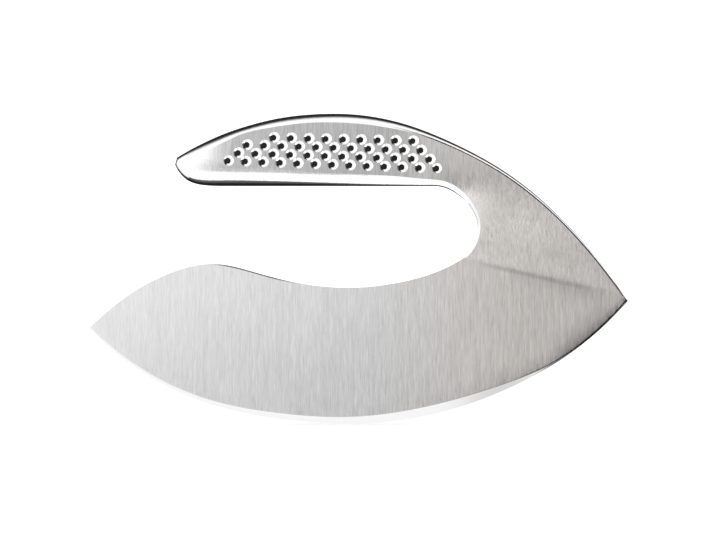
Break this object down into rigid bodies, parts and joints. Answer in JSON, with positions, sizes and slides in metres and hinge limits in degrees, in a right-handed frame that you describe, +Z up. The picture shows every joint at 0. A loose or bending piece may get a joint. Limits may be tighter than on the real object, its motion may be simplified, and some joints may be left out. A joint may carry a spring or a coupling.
{
  "type": "mezzaluna",
  "caption": "One-handed all-steel mezzaluna: curved ground blade, finger slot and hollow grip with black-dotted dimples.",
  "frame": {"origin": "under the middle of the length, level with the lowest point of the cutting edge, in the middle of the thickness", "axes": "+X runs along the blade away from the grip's point, +Z is up from the cutting edge to the grip, and -Y is the front"},
  "size_m": [0.19, 0.016, 0.1092],
  "materials": {
    "blade_steel": "fine vertical brushing, polished cutting bevel",
    "grip_steel": "brushed flat faces, polished shoulders and dimples",
    "weld_steel": "ground flush and brushed",
    "sand": "loose dry grains",
    "black_filling": "glossy black lacquer"
  },
  "bodies": {
    "root": {"blade": "blade_steel", "front_handle_shell": "grip_steel", "rear_handle_shell": "grip_steel", "handle_seam_weld": "weld_steel", "front_blade_weld": "weld_steel", "rear_blade_weld": "weld_steel", "sand_fill": "sand", "front_dimple_dots": "black_filling", "rear_dimple_dots": "black_filling"}
  },
  "joints": []
}
